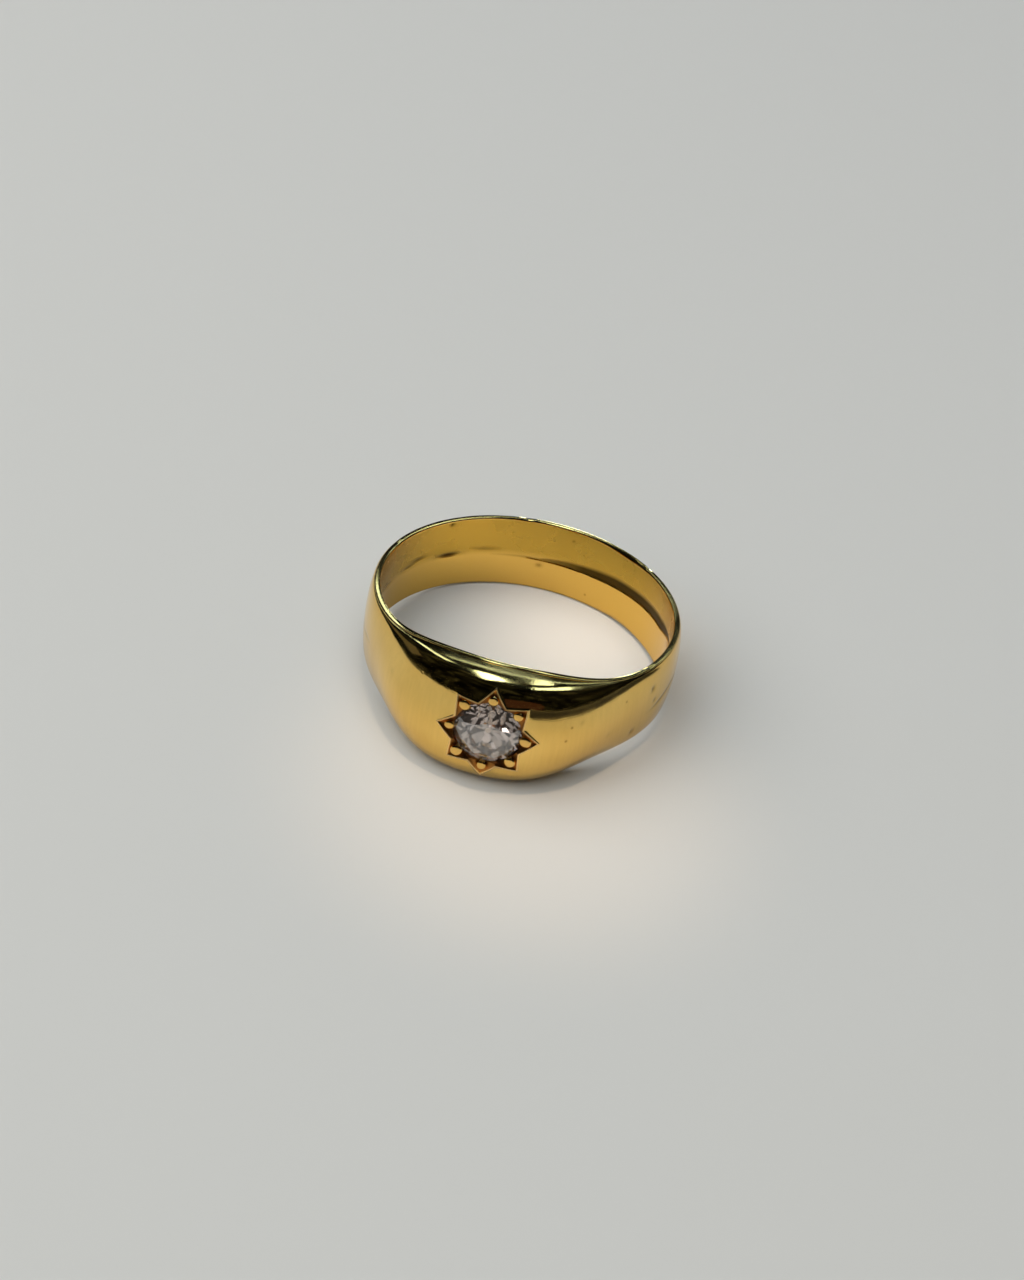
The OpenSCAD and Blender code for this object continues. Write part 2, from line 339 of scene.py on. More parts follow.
def rim_slope(turn):
    """How far wear makes the rims slope outwards round an angle on the left: the drop for each step out."""
    worn_turn, worn_spread = -64, 30
    return worn_slope * swell(turn - worn_turn, worn_spread, 4)


def wall_at(turn, slant):
    """Wall thickness at a slant, -90 at the lower rim and 90 at the upper: the rim's thickness and
    the rest times the cosine of the slant to a power, which is low at the squarer head."""
    middle = shank_t + (head_t - shank_t) * swell(turn, dome_spread, dome_power)
    roundness = shank_round + (head_round - shank_round) * swell(turn, round_spread, round_power)
    return rim_t + (middle - rim_t) * np.cos(np.radians(slant)).clip(0) ** roundness


def pressed(marks, turn, z, r):
    """Depth of a table of round marks: a bell curve of each mark's own radius and depth, all added."""
    depth = 0
    for mark_turn, mark_z, mark_r, mark_depth in marks:
        arc = np.radians(near(turn - mark_turn)) * r
        depth = depth + mark_depth * np.exp(-(arc ** 2 + (z - mark_z) ** 2) / mark_r ** 2)
    return depth


def filed(waves, turn, z):
    """Depth of a table of waves: a sine of the angle times its count, the height and the start, all added."""
    return sum(height * np.sin(np.radians(count * turn + lead * z + start))
               for height, count, lead, start in waves)


def rise_past(angle, middle, softness):
    """A smooth step from 0 to 1 past a middle: one over one plus e to the minus (distance / softness)."""
    return 1 / (1 + np.exp((middle - angle) / softness))


def fall_past(angle, middle, softness):
    """The same step from 1 down to 0."""
    return rise_past(-angle, -middle, softness)


def outer_crease(turn, z):
    """Share of the thin crease round the shank: a bell curve of the distance from its line, times a
    smooth step at each end, and weaker past the right side."""
    around = turn % 360
    line = np.interp(around, crease_turn, crease_z)
    ends = rise_past(around, crease_start, crease_soft) * fall_past(around, crease_end, crease_soft)
    strength = crease_weak + (1 - crease_weak) * fall_past(around, crease_weak_from, crease_weak_soft)
    return ends * strength * np.exp(-((z - line) / crease_w) ** 2)


def outer_marks(turn, z):
    """How far wear lies below the outer surface: the crease, the waves of filing and the dents, added."""
    crease = crease_depth * outer_crease(turn, z)
    return crease + filed(outer_waves, turn, z) + pressed(outer_dents, turn, z, dome_r)


def outer_darkening_and_shade(turn, z):
    """Share of darkening on the outside: most of the crease, some in the dents, and a little painted shade
    over the lower rim, where the polish mirrors the shadow under the ring. The shade fades out with the
    distance from the rim to the power of one and a half."""
    # Painted shade over the lower rim, for the shadow under the ring that the polish mirrors there
    over_rim = (1 - (z + half_width(turn)) / rim_shade_reach).clip(0, 1)
    in_marks = crease_darkening * outer_crease(turn, z) + pressed(outer_dents, turn, z, dome_r) / full_dent
    return (in_marks + rim_shade * over_rim ** 1.5).clip(0, most_darkening)


def seam_line(turn):
    """Height of the seam's lower side round the inside: two level stretches joined by a smooth step of
    the kind 3 t squared minus 2 t cubed, and a straight rise at its right end."""
    low, step_h, rise = -0.32, 0.30, 0.7
    step_from, step_length, rise_from, rise_length = 172, 48, 118, 18
    around = turn % 360
    step = ((step_from - around) / step_length).clip(0, 1)
    climb = ((rise_from - around) / rise_length).clip(0, 1.2)
    return low + step_h * step ** 2 * (3 - 2 * step) + rise * climb


def inner_seam(turn, z):
    """How strong the seam is, from 0 to 1: a stretch on the right with a soft upper and a
    sharp lower side, which thins out towards the back, and short dashes on the left, each of them a
    bell curve along and across. Its share sinks the groove and darkens it with painted shade."""
    around = turn % 360
    width = (seam_w * ((seam_narrow - around) / narrows_over).clip(seam_least, 1) ** 0.5
             * ((around - seam_start) / widens_over).clip(0, 1))
    fade = (((seam_end - around) / fades_over).clip(0, 1) ** 0.8
            * ((around - seam_start) / sets_in_over).clip(0, 1))
    off = z - seam_line(turn)
    lower_side = (off / seam_sharp + 0.5).clip(0, 1)
    upper_side = ((width - off) / (seam_soft * width + 0.05)).clip(0, 1)
    share = fade * lower_side * upper_side
    for dash_turn, dash_z, half_length, strength in seam_dashes:
        along, across = (around - dash_turn) / half_length, (z - dash_z) / dash_w
        share = share + strength * np.exp(-along ** 2 - across ** 2)
    return share.clip(0, 1)


def inner_marks(turn, z):
    """How far wear lies behind the bore: the seam, the waves of filing and the pits, added."""
    seam = seam_depth * inner_seam(turn, z)
    return seam + filed(inner_waves, turn, z) + pressed(inner_pits, turn, z, finger_r)


def inner_darkening_and_shade(turn, z):
    """Share of darkening on the bore: all of the seam, as painted shade in its groove, and darker spots in
    the pits.
    """
    return (inner_seam(turn, z) + pressed(inner_pits, turn, z, finger_r) / full_pit).clip(0, 1)


def inner_dullness(turn, z):
    """Share of the dull skin over the seam, which rises evenly from 0 to 1 over half a millimetre."""
    return ((z - seam_line(turn)) / 0.5).clip(0, 1)


def around_finger(turn, r, z):
    """The point at an angle from the head's middle, a radius and a height along the finger."""
    angle = np.radians(turn)
    return np.stack(np.broadcast_arrays(r * np.sin(angle), -r * np.cos(angle), z), axis=-1)


def as_it_lies(points):
    """Leans points of the upright ring until its lower rim touches the table at the head and at the
    back, and moves them to their place: a turn about X, a shift, and millimetres to metres."""
    x, y, z = np.moveaxis(np.asarray(points, float), -1, 0)
    leaned = np.stack([x, y * np.cos(lean) + z * np.sin(lean), z * np.cos(lean) - y * np.sin(lean)], axis=-1)
    return leaned / 1000 + hole_middle


def outer_radius(turn, slant, z):
    """Radius of the worn outer surface: the bore's, the wall and, fading out towards the rims with the
    square root of the slant's cosine, the wear taken off."""
    return finger_r + wall_at(turn, slant) - outer_marks(turn, z) * np.cos(np.radians(slant)) ** 0.5


# The outside has a row of points for each degree round the band. Across it the slants lie closer together
# towards the rims, where the section turns fastest.
turn_from, slant_steps, bore_steps, corner_steps = -18, 100, 73, 6
turns = (turn_from + np.arange(360))[:, None]
slants = 90 * np.sin(np.radians(np.linspace(-90, 90, slant_steps + 1)))[None, :]
edge = half_width(turns)
# Nicks and slopes of the rim die out over this height below it
rim_wear_h = 0.35


def band_columns():
    """The band as a closed cross-section for each degree round it: radii, heights, and which points are
    on the bore. The section runs up the outside, in over the upper rim, down the bore and out over the
    lower rim. The rim's corners are arcs of a circle, and the dome starts at the foot of the outer one.
    The nicks, bell curves of the arc's length, and the worn slope lower the upper rim."""
    corner = corner_at(turns)
    outer_z = (edge - lip_r) * np.sin(np.radians(slants))
    outer_r = outer_radius(turns, slants, outer_z)
    arc = np.radians(np.linspace(0, 90, corner_steps))[None, :]
    lip_out = finger_r + rim_t - lip_r * (1 - np.cos(arc[:, 1:]))
    lip_up = lip_r * (np.sin(arc[:, 1:]) - 1)
    corner_in = finger_r + corner * (1 - np.sin(arc))
    corner_up = corner * (np.cos(arc) - 1)
    bore_share = np.linspace(1, -1, bore_steps + 1)[None, 1:-1]
    bore_z = (edge - corner) * bore_share
    bore_r = finger_r + inner_marks(turns, bore_z)
    whole = np.ones_like(edge)
    r = np.hstack([outer_r, whole * lip_out, corner_in, bore_r, corner_in[:, ::-1], whole * lip_out[:, ::-1]])
    z = np.hstack([outer_z, edge + lip_up, edge + corner_up, bore_z, -edge - corner_up[:, ::-1],
                   -edge - lip_up[:, ::-1]])
    inside = np.zeros_like(r)
    bore_from = slant_steps + 2 * corner_steps
    inside[:, bore_from:bore_from + bore_steps - 1] = 1
    drop = 0
    for nick_turn, nick_w, nick_depth in rim_nicks:
        drop = drop + nick_depth * np.exp(-(np.radians(near(turns - nick_turn)) * finger_r / nick_w) ** 2)
    drop = drop + rim_slope(turns) * (r - finger_r).clip(0, rim_t)
    return r, z - drop * ((z - edge + rim_wear_h) / rim_wear_h).clip(0, 1) ** 2, inside


band_r, band_z, band_inside = band_columns()
band = around_finger(turns, band_r, band_z)
row_count, column_count = band_r.shape
band_index = np.arange(row_count * column_count).reshape(row_count, column_count)

# The star takes up a window of the outer grid, and the hole behind the stone one of the bore's grid
window_turns, window_slants = 42, 49
outer_low = 27
outer_high = outer_low + window_slants
bore_high = slant_steps + 2 * corner_steps + (bore_steps - window_slants) // 2
bore_low = bore_high + window_slants


def window_path(low, high):
    """The grid points round a window, once round from its lower left corner by its right side."""
    step = 1 if high > low else -1
    row = np.concatenate([np.arange(window_turns), np.full(window_slants, window_turns),
                          np.arange(window_turns, 0, -1), np.zeros(window_slants, int)])
    column = np.concatenate([np.full(window_turns, low), np.arange(low, high, step),
                             np.full(window_turns, high), np.arange(high, low, -step)])
    return row, column


star_out = np.array([np.sin(np.radians(star_turn)), -np.cos(np.radians(star_turn)), 0])
star_side = np.array([np.cos(np.radians(star_turn)), np.sin(np.radians(star_turn)), 0])
finger_way = np.array([0, 0, 1])


def from_star(x, y, height):
    """The point at a distance to the side, along the finger and out of the top of the dome."""
    x, y, height = (np.asarray(value, float)[..., None] for value in (x, y, height))
    return x * star_side + (y + star_rise) * finger_way + (dome_r + height) * star_out


def on_dome(x, y):
    """The point of the outer surface at an arc's length to the side and a height from the star's middle."""
    turn = star_turn + np.degrees(x / dome_r)
    z = y + star_rise
    slant = np.degrees(np.arcsin((z / (half_width(turn) - lip_r)).clip(-1, 1)))
    return around_finger(turn, outer_radius(turn, slant, z), z)


def star_bearings(bearing):
    """Bearings moved a little, so that sixteen of the columns run exactly to the star's corners."""
    columns = len(bearing)
    laps = np.concatenate([bearing - 2 * np.pi, bearing, bearing + 2 * np.pi])
    corner = np.radians(ray_step / 2) * np.arange(-2 * rays, 4 * rays)
    column = np.round(np.interp(corner, laps, np.arange(-columns, 2 * columns)))
    inside = (corner > laps[0]) & (corner < laps[-1])
    return np.interp(np.arange(columns), column[inside], corner[inside])


def star_outline(bearing):
    """Distance of the star's edge from its middle: straight sides between the tips and the necks."""
    half_step = np.radians(ray_step / 2)
    off = np.abs((bearing + half_step) % (2 * half_step) - half_step)
    return star_r * neck_r * np.sin(half_step) / (star_r * np.sin(off) + neck_r * np.sin(half_step - off))


def gouge_depth(r, bearing):
    """Depth of the star's floor. Each ray falls evenly from its tip, and across it the depth is one
    minus a power of the distance from its middle line, so its two walls meet in a valley."""
    half_step = np.radians(ray_step / 2)
    off = np.abs((bearing + half_step) % (2 * half_step) - half_step)
    fall = star_r - r * np.cos(off)
    half_wide = neck_r * np.sin(half_step) * fall / (star_r - neck_r * np.cos(half_step))
    across = (r * np.sin(off) / np.maximum(half_wide, 1e-9)).clip(0, 1)
    return gouge_slope * fall * (1 - across ** gouge_power)


def burr_height(off):
    """Height of the thin burr that the graver raised along the star's edge: a bell curve of the
    distance from the edge."""
    return burr_h * np.exp(-(off / burr_w) ** 2)


# How far along each ring of points lies: from the window's edge to the star's, closer together at the
# burr, from there to the seat, and in the bore from the hole's mouth out to its window's edge
dome_shares = np.array([0.1, 0.22, 0.34, 0.46, 0.57, 0.67, 0.76, 0.84, 0.9, 0.935, 0.96, 0.98,
                        0.993])[:, None]
gouge_shares = np.array([0, 0.02, 0.05, 0.09, 0.14, 0.2, 0.3, 0.45, 0.6, 0.75, 0.9, 1.0])[:, None]
bore_shares = np.linspace(0, 1, 14)[:-1, None] ** 1.3
# The first rings of the gouges are the burr's inner side, and are polished and coloured as the dome is,
# without the painted shade of the cut recesses
burr_rings = 4
# The section of the seat, one row for each ring: radius, and height above the dome's top
seat_section = np.array([(seat_r, seat_floor), (1.7, -1.01), (1.4, -1.28), (seat_hole_r, cone_low),
                         (seat_hole_r, -1.9), (seat_hole_r, -2.2)])
hole_mouth_r = seat_hole_r + 0.05


def star_rings():
    """Closed rings of points from the edge of the outer window inwards: the dome, the gouged floor, the
    seat, the cone under the stone, the hole, and the bore out to the edge of its own window. With them
    come the shares of the finishes, and the two windows' own points."""
    row, column = window_path(outer_low, outer_high)
    side = np.radians(turns[row, 0] - star_turn) * dome_r
    rise = (edge[row, 0] - lip_r) * np.sin(np.radians(slants[0, column])) - star_rise
    bearing = star_bearings(np.unwrap(np.arctan2(rise, side)))
    outline = star_outline(bearing)

    dome_x = side + (outline * np.cos(bearing) - side) * dome_shares
    dome_y = rise + (outline * np.sin(bearing) - rise) * dome_shares
    dome_off = np.hypot(dome_x, dome_y) - outline
    dome = on_dome(dome_x, dome_y) + burr_height(dome_off)[..., None] * star_out

    floor_r = outline + (seat_r - outline) * gouge_shares
    lift = burr_height(outline - floor_r) - (gouge_depth(floor_r, bearing) - burr_shelf).clip(0)
    gouges = on_dome(floor_r * np.cos(bearing), floor_r * np.sin(bearing)) + lift[..., None] * star_out

    ring_r, ring_height = seat_section[:, :1], seat_section[:, 1:]
    seat = from_star(ring_r * np.cos(bearing), ring_r * np.sin(bearing), ring_height)

    bore_row, bore_column = window_path(bore_low, bore_high)
    mouth_x, mouth_y = hole_mouth_r * np.cos(bearing), hole_mouth_r * np.sin(bearing)
    x = mouth_x + (np.radians(turns[bore_row, 0] - star_turn) * finger_r - mouth_x) * bore_shares
    y = mouth_y + (band_z[bore_row, bore_column] - star_rise - mouth_y) * bore_shares
    turn, z = star_turn + np.degrees(x / finger_r), y + star_rise
    bore = around_finger(turn, finger_r + inner_marks(turn, z), z)

    rings = np.concatenate([dome, gouges, seat, bore])
    gouges_from, seat_from, bore_from = np.cumsum([len(dome), len(gouges), len(seat)])
    finish = {name: np.zeros(rings.shape[:2]) for name in ("crest_highlight", "recess_shade", "inside", "darkening_and_shade", "dullness")}
    # The burr's crest is rougher and has a painted highlight, lighter than the gold
    finish["crest_highlight"][:seat_from] = np.exp(-(np.concatenate([dome_off, outline - floor_r]) / burr_crest_w) ** 2)
    # The cut floor, the seat, the cone under it and the hole are rougher and get a painted shade, darker and
    # more orange
    finish["recess_shade"][gouges_from + burr_rings:bore_from] = 1
    # The bore in the hole behind the stone gets the inside's painted shade
    finish["inside"][bore_from:] = 1
    finish["darkening_and_shade"][:gouges_from] = outer_darkening_and_shade(star_turn + np.degrees(dome_x / dome_r), dome_y + star_rise)
    finish["dullness"][bore_from:] = inner_dullness(turn, z)
    return rings, finish, band_index[row, column], band_index[bore_row, bore_column]


def grid_faces(index, close_rows, close_columns):
    """Four-sided faces between neighbouring rows and columns of a grid of point numbers."""
    if close_rows:
        index = np.vstack([index, index[:1]])
    if close_columns:
        index = np.hstack([index, index[:, :1]])
    return np.stack([index[:-1, :-1], index[1:, :-1], index[1:, 1:], index[:-1, 1:]], axis=-1)


def outward(points, faces):
    """The faces, turned round if the solid that they close has a negative volume."""
    corners = points[faces]
    first, second = np.cross(corners[:, 1], corners[:, 2]), np.cross(corners[:, 2], corners[:, 3])
    volume = (corners[:, 0] * (first + second)).sum()
    return faces if volume > 0 else faces[:, ::-1]


def mesh_of(name, points, faces, smooth):
    """A mesh of four-sided faces, with its points set down as the ring lies."""
    mesh = bpy.data.meshes.new(name)
    mesh.vertices.add(len(points))
    mesh.vertices.foreach_set("co", as_it_lies(points).ravel())
    mesh.loops.add(faces.size)
    mesh.loops.foreach_set("vertex_index", faces.ravel())
    mesh.polygons.add(len(faces))
    mesh.polygons.foreach_set("loop_start", np.arange(len(faces)) * faces.shape[1])
    mesh.polygons.foreach_set("use_smooth", np.full(len(faces), smooth))
    mesh.update(calc_edges=True)
    return mesh


def make_ring():
    """The ring's points, its faces and the shares of its finishes: the band without its two windows,
    and the star's rings stitched between them."""
    rings, star_finish, outer_path, bore_path = star_rings()
    ring_index = band_index.size + np.arange(rings[..., 0].size).reshape(rings.shape[:2])
    faces = grid_faces(band_index, True, True)
    keep = np.ones(faces.shape[:2], bool)
    keep[:window_turns, outer_low:outer_high] = False
    keep[:window_turns, bore_high:bore_low] = False
    stitched = grid_faces(np.vstack([outer_path, ring_index, bore_path]), False, True)
    faces = np.concatenate([faces[keep], stitched.reshape(-1, 4)[:, ::-1]])
    points = np.concatenate([band.reshape(-1, 3), rings.reshape(-1, 3)])

    # The bore's inside share gives it a painted shade, darker and more orange than the outside
    none = np.zeros(band_index.shape)
    # The darkening holds painted shade in the seam inside and over the lower rim outside
    darkening_and_shade = np.where(band_inside > 0, inner_darkening_and_shade(turns, band_z), outer_darkening_and_shade(turns, band_z))
    band_finish = {"crest_highlight": none, "recess_shade": none, "inside": band_inside, "darkening_and_shade": darkening_and_shade,
                   "dullness": band_inside * inner_dullness(turns, band_z)}
    finish = {name: np.concatenate([share.ravel(), star_finish[name].ravel()])
              for name, share in band_finish.items()}

    used = np.zeros(len(points), bool)
    used[faces.ravel()] = True
    new_number = np.cumsum(used) - 1
    faces = new_number[outward(points, faces)]
    return points[used], faces, {name: share[used] for name, share in finish.items()}


def give_shares(mesh, name, shares):
    """Stores a share for each point of a mesh, which its material reads by name."""
    attribute = mesh.attributes.new(name, "FLOAT", "POINT")
    attribute.data.foreach_set("value", shares.astype(np.float32))


ring_points, ring_faces, ring_finish = make_ring()
ring_mesh = mesh_of("gold_band", ring_points, ring_faces, True)
for finish_name, shares in ring_finish.items():
    give_shares(ring_mesh, finish_name, shares)
sharp_edge = np.radians(26)
ring_mesh.set_sharp_from_angle(angle=sharp_edge)


def node(tree, kind, inputs=None, **settings):
    """Adds a node with its settings, and sets or links its inputs."""
    made = tree.nodes.new(kind)
    for name, value in settings.items():
        setattr(made, name, value)
    for name, value in (inputs or {}).items():
        if isinstance(value, bpy.types.NodeSocket):
            tree.links.new(value, made.inputs[name])
        else:
            made.inputs[name].default_value = value
    return made


def mixed(tree, share, under, over):
    """A colour that goes over from one to another by a share."""
    made = node(tree, "ShaderNodeMix", {"Factor": share, "A": under, "B": over}, data_type="RGBA")
    return made.outputs["Result"]


def carried(tree, value, low, high, to_low, to_high):
    """A value carried evenly from one range to another, and kept inside it."""
    made = node(tree, "ShaderNodeMapRange", {"Value": value, "From Min": low, "From Max": high,
                                             "To Min": to_low, "To Max": to_high})
    return made.outputs["Result"]


def reckoned(tree, operation, *values):
    """The result of one sum on its values."""
    return node(tree, "ShaderNodeMath", dict(enumerate(values)), operation=operation).outputs["Value"]


def patchy(tree, place, scale, detail):
    """Smooth noise with about as many patches in a metre as its scale says."""
    made = node(tree, "ShaderNodeTexNoise", {"Vector": place, "Scale": scale, "Detail": detail})
    return made.outputs["Fac"]


def streaky(tree, place, counts, detail):
    """The same noise drawn out into streaks, with a count in a metre for each direction."""
    drawn = node(tree, "ShaderNodeMapping", {"Vector": place, "Scale": counts})
    return patchy(tree, drawn.outputs["Vector"], scale=1, detail=detail)


# The two tones of the gold at their stops of the noise, and the tints that lie over it, lowest first.
# The tints of the recess and of the inside are painted shade, the crest's is a painted highlight, and the
# dark tint is partly painted shade: in the seam and over the lower rim.
gold_tones = {0.3: (0.85, 0.535, 0.135), 0.7: (0.94, 0.625, 0.18)}
gold_tints = {"stroke": (0.50, 0.30, 0.08), "recess_shade": (0.52, 0.21, 0.045), "inside": (0.80, 0.50, 0.11),
              "dullness": (0.54, 0.34, 0.05), "speck": (0.35, 0.19, 0.04), "crest_highlight": (0.95, 0.64, 0.26),
              "darkening_and_shade": (0.10, 0.06, 0.01)}
# How strong the strokes, a speck and the dull skin's tint are, and the random tone past which a spot is
# a speck
stroke_share, speck_share, dull_share, speck_choice = 0.12, 0.75, 0.85, 0.62
# The roughness of the clean polish and of its smudges, and how much rougher each share makes it
clean_rough, smudge_rough = 0.07, 0.17
rougher = {"dullness": 0.16, "darkening_and_shade": 0.3, "recess_shade": 0.22, "crest_highlight": 0.3}
# Counts in a metre, or one for each direction: patches of the two tones, strokes, specks, smudges,
# scratches round the band and along the finger, and small pits
patch_count, stroke_counts, speck_count, smudge_count = 260, (5200, 5200, 330), 620, 420
round_counts, along_counts, pit_count = (900, 900, 14000), (9000, 9000, 700), 1500
# The range of the noise that counts, and how far a speck and a pit reach, as shares of their spacing
noise_low, noise_high, speck_core, speck_reach, pit_reach = 0.35, 0.7, 0.03, 0.075, 0.14
# How far the scratches stand out in metres, how sharply they show, and the pits' depth against theirs
scratch_depth, relief_share, pit_depth = 0.000006, 0.35, 1.6


def gold_colour(tree, place, shares):
    """Two close tones in patches, then thin brown strokes along the finger, a painted shade in the cut
    recesses and on the inside, the dull skin, a few dark specks, a painted highlight on the burr's crest,
    and the darkening of the crease and dents, with painted shade in the seam and over the lower rim."""
    tones = node(tree, "ShaderNodeValToRGB", {"Fac": patchy(tree, place, patch_count, detail=3)})
    for stop, (position, tone) in zip(tones.color_ramp.elements, gold_tones.items()):
        stop.position = position
        stop.color = (*tone, 1)
    streaks = streaky(tree, place, stroke_counts, detail=3)
    stroke = carried(tree, streaks, noise_low, noise_high, 0, stroke_share)
    spots = node(tree, "ShaderNodeTexVoronoi", {"Vector": place, "Scale": speck_count})
    near_spot = carried(tree, spots.outputs["Distance"], speck_core, speck_reach, speck_share, 0)
    few = reckoned(tree, "GREATER_THAN", spots.outputs["Color"], speck_choice)
    layers = {**shares, "stroke": stroke, "speck": reckoned(tree, "MULTIPLY", near_spot, few),
              "dullness": reckoned(tree, "MULTIPLY", shares["dullness"], dull_share)}
    colour = tones.outputs["Color"]
    for name, tint in gold_tints.items():
        colour = mixed(tree, layers[name], colour, (*tint, 1))
    return colour


def gold_roughness(tree, place, shares):
    """A polish that is softened in smudges, and rougher by each of the shares."""
    smudges = patchy(tree, place, smudge_count, detail=4)
    rough = carried(tree, smudges, noise_low, noise_high, clean_rough, smudge_rough)
    for name, more in rougher.items():
        rough = reckoned(tree, "MULTIPLY_ADD", shares[name], more, rough)
    return rough


def gold_relief(tree, place):
    """Fine scratches round the band and along the finger, added, and small pits sunk between them."""
    round_band = streaky(tree, place, round_counts, detail=2)
    along_finger = streaky(tree, place, along_counts, detail=2)
    scratches = reckoned(tree, "ADD", round_band, along_finger)
    pits = node(tree, "ShaderNodeTexVoronoi", {"Vector": place, "Scale": pit_count})
    sunk = carried(tree, pits.outputs["Distance"], 0, pit_reach, -pit_depth, 0)
    relief = reckoned(tree, "ADD", scratches, sunk)
    bump = node(tree, "ShaderNodeBump", {"Height": relief, "Strength": relief_share,
                                         "Distance": scratch_depth})
    return bump.outputs["Normal"]


def polished_gold():
    """Worn, polished yellow gold. The mesh's own shares say where it is cut, dull or darkened, and where
    shade or a highlight is painted on.
    """
    material = bpy.data.materials.new("polished_gold")
    material.use_nodes = True
    tree = material.node_tree
    shader = tree.nodes["Principled BSDF"]
    place = tree.nodes.new("ShaderNodeTexCoord").outputs["Object"]
    shares = {name: node(tree, "ShaderNodeAttribute", attribute_name=name).outputs["Fac"]
              for name in ("recess_shade", "crest_highlight", "darkening_and_shade", "inside", "dullness")}
    tree.links.new(gold_colour(tree, place, shares), shader.inputs["Base Color"])
    tree.links.new(gold_roughness(tree, place, shares), shader.inputs["Roughness"])
    tree.links.new(gold_relief(tree, place), shader.inputs["Normal"])
    shader.inputs["Metallic"].default_value = 1
    return material


gold = polished_gold()
ring_mesh.materials.append(gold)
ring = bpy.data.objects.new("gold_band", ring_mesh)
bpy.context.scene.collection.objects.link(ring)
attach(ring, "root")
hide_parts("gold_ring")


# The eight grains are beads of the ring's own gold, raised from the floor of each ray with a graver and
# rounded with a beading tool, so that each laps the edge of the stone and holds it down.
# A bead's radius, the radius of the circle that the beads stand on, and how deep their middles are sunk
grain_r, grain_ring_r, grain_sink = 0.3, 2.2, 0.25
# A bead's length, width and height against a ball's, the power that flattens its top, how much the sizes
# differ, and how much of the cut floor's painted shade it has
grain_long, grain_wide, grain_high, grain_flat, grain_uneven, grain_recess_shade = 1.1, 1.08, 0.92, 0.35, 0.12, 0.2
# The stone's radius, the height of its table above the dome's top, the height of its crown, and the gap
# that the beads keep to it
stone_r, table_rise, crown_h, seat_gap = 1.95, 0.14, 0.62, 0.03
table_r = stone_r * 0.52
girdle_top = table_rise - crown_h
crown_fall = crown_h / (stone_r - table_r)


def make_grains(around_steps, over_steps):
    """Eight beads, one in each ray: balls with a flattened top, a little longer towards the stone than
    across, and of slightly uneven size. The height is the cosine from the top to a power, and the size
    varies as a sine of the bead's number. Where a bead would cut into the stone it is pushed out to the
    slope of the crown."""
    turn = np.radians(np.arange(around_steps) * 360 / around_steps)
    over = np.radians(np.linspace(0, 180, over_steps + 1))[:, None]
    number = np.arange(rays)
    bearing = np.radians(number * ray_step)
    size = grain_r * (1 + grain_uneven * np.sin(number * 2.6 + 1))
    x = np.sin(over) * np.cos(turn) * grain_long
    y = np.sin(over) * np.sin(turn) * grain_wide
    flattened = np.sign(np.cos(over)) * np.abs(np.cos(over)) ** grain_flat
    height = grain_high * flattened * np.ones_like(turn)
    centre = on_dome(grain_ring_r * np.cos(bearing), grain_ring_r * np.sin(bearing)) - grain_sink * star_out
    way_out = np.cos(bearing)[:, None] * star_side + np.sin(bearing)[:, None] * finger_way
    way_side = np.cross(star_out, way_out)
    ball = (x[None, ..., None] * way_out[:, None, None] + y[None, ..., None] * way_side[:, None, None]
            + height[None, ..., None] * star_out) * size[:, None, None, None] + centre[:, None, None]
    offset = ball - (dome_r * star_out + star_rise * finger_way)
    sideways, along, out = offset @ star_side, offset @ finger_way, offset @ star_out
    reach = np.hypot(sideways, along)
    clear = stone_r + seat_gap - (out - girdle_top).clip(0) / crown_fall
    grow = np.maximum(reach, clear) / reach
    return from_star(sideways * grow, along * grow, out)


grain_around, grain_over = 24, 14
grain_grid = make_grains(grain_around, grain_over)
grain_points = grain_grid.reshape(-1, 3)
grain_index = np.arange(len(grain_points)).reshape(grain_grid.shape[:3])
grain_faces = np.concatenate([grid_faces(index, False, True).reshape(-1, 4) for index in grain_index])
grain_mesh = mesh_of("grains", grain_points, outward(grain_points, grain_faces), True)
# The beads take a little of the cut floor's painted shade and roughness
give_shares(grain_mesh, "recess_shade", np.full(len(grain_points), grain_recess_shade))
grain_mesh.materials.append(gold)
grains = bpy.data.objects.new("grains", grain_mesh)
bpy.context.scene.collection.objects.link(grains)
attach(grains, "root")


# The diamond is an old mine cut stone: a small table, a high crown of 32 facets, a thin girdle, a deep
# pavilion of 24 facets and an open culet. It sits in its seat under the grains.
girdle_h, pavilion_h, culet_r = 0.09, 1.6, stone_r * 0.1
girdle_low = girdle_top - girdle_h
culet_z = girdle_low - pavilion_h
# How far out the crown's middle ring of corners lies, from table to girdle, and the pavilion's, from
# the axis to the girdle
crown_middle, pavilion_middle = 0.52, 0.42
stone_tint, stone_bending, stone_clearness = (0.58, 0.50, 0.45), 2.42, 0.93


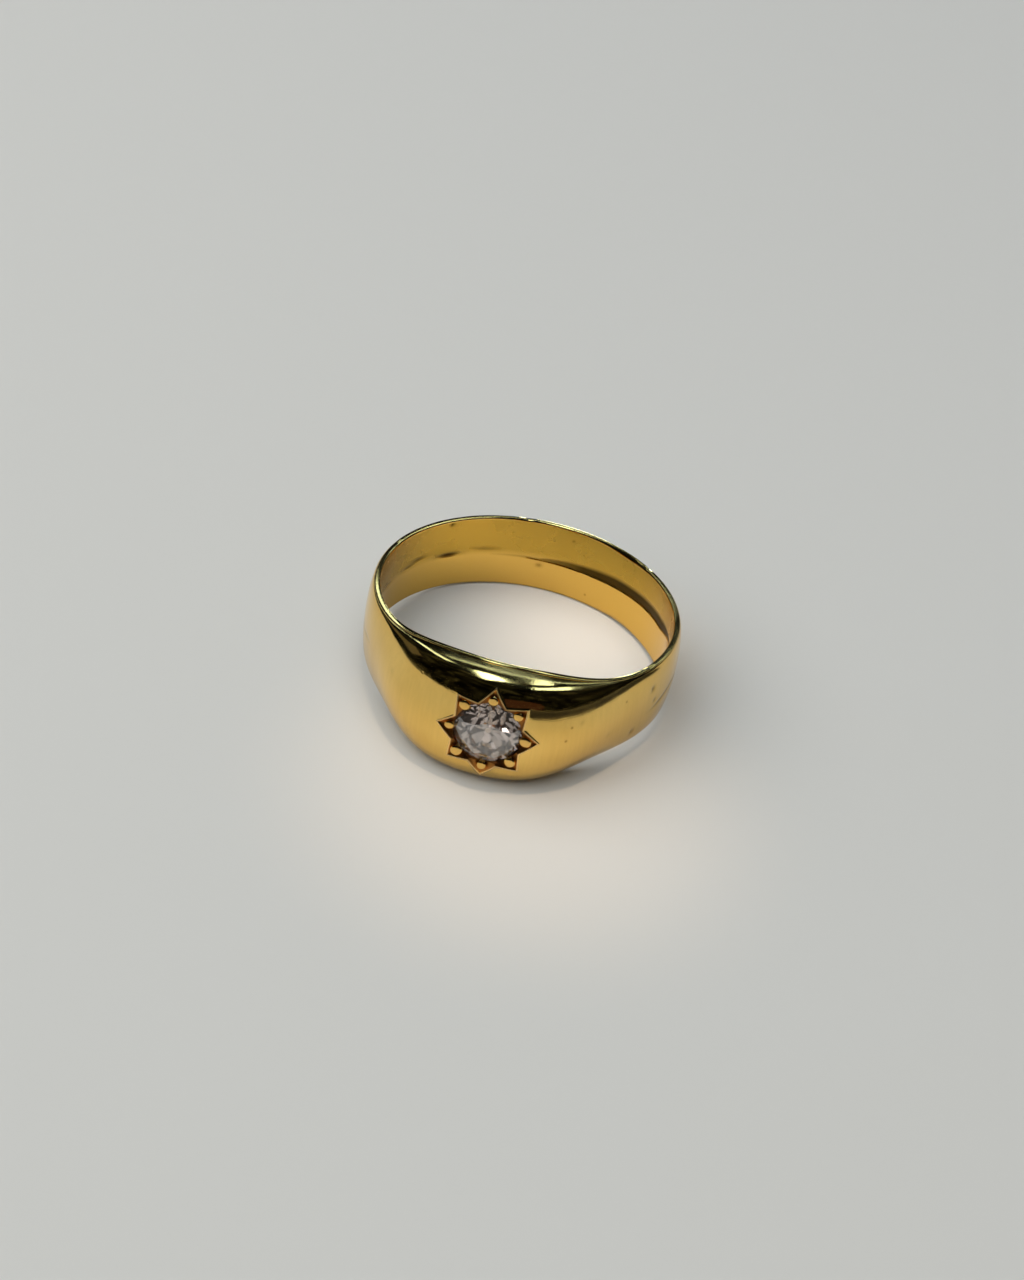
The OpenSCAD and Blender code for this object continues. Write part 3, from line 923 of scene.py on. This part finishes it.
def make_diamond():
    """Rings of corners from the table down to the culet, with flat facets between them. The heights of
    the rings half way up the crown and half way down the pavilion put them on the flat main facets."""
    half_step = np.radians(ray_step / 2)
    star_ring_r, lower_ring_r = table_r + (stone_r - table_r) * crown_middle, stone_r * pavilion_middle
    star_ring_z = table_rise - (star_ring_r * np.cos(half_step) - table_r) * crown_fall
    pavilion_fall = pavilion_h / (stone_r - culet_r * np.cos(half_step))
    lower_ring_z = culet_z + (lower_ring_r - culet_r) * np.cos(half_step) * pavilion_fall

    def corner_ring(r, z, first, count):
        """Corners evenly spaced round a circle at one height, from a first bearing on."""
        bearing = first + np.arange(count) * 2 * np.pi / count
        return from_star(r * np.cos(bearing), r * np.sin(bearing), np.full(count, z))

    points = np.concatenate([
        corner_ring(table_r, table_rise, 0, rays),
        corner_ring(star_ring_r, star_ring_z, half_step, rays),
        corner_ring(stone_r, girdle_top, 0, 2 * rays),
        corner_ring(stone_r, girdle_low, 0, 2 * rays),
        corner_ring(lower_ring_r, lower_ring_z, half_step, rays),
        corner_ring(culet_r, culet_z, half_step, rays)])
    k, both = np.arange(rays), np.arange(2 * rays)
    after, before, next_both = (k + 1) % rays, (k - 1) % rays, (both + 1) % (2 * rays)
    star, upper = rays, 2 * rays
    lower, deep, culet = upper + 2 * rays, upper + 4 * rays, upper + 5 * rays
    stacks = [
        [star + k, after, k],
        [star + before, upper + 2 * k, star + k, k],
        [upper + 2 * k, upper + 2 * k + 1, star + k],
        [upper + 2 * k + 1, upper + (2 * k + 2) % (2 * rays), star + k],
        [lower + both, lower + next_both, upper + next_both, upper + both],
        [lower + 2 * k + 1, lower + 2 * k, deep + k],
        [lower + (2 * k + 2) % (2 * rays), lower + 2 * k + 1, deep + k],
        [culet + before, culet + k, deep + k, lower + 2 * k, deep + before]]
    facets = [list(k), list(culet + k[::-1])]
    for stack in stacks:
        facets += np.column_stack(stack).tolist()
    return points, facets


def clear_diamond():
    """Clear, slightly milky stone with a grey-brown body and a diamond's bending of light."""
    material = bpy.data.materials.new("clear_diamond")
    material.use_nodes = True
    shader = material.node_tree.nodes["Principled BSDF"]
    shader.inputs["Roughness"].default_value = 0
    shader.inputs["Base Color"].default_value = (*stone_tint, 1)
    shader.inputs["IOR"].default_value = stone_bending
    shader.inputs["Transmission Weight"].default_value = stone_clearness
    return material


stone_points, stone_facets = make_diamond()
stone_mesh = bpy.data.meshes.new("old_cut_diamond")
stone_mesh.from_pydata(as_it_lies(stone_points).tolist(), [], stone_facets)
stone_mesh.materials.append(clear_diamond())
stone = bpy.data.objects.new("old_cut_diamond", stone_mesh)
bpy.context.scene.collection.objects.link(stone)
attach(stone, "root")
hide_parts("diamond")
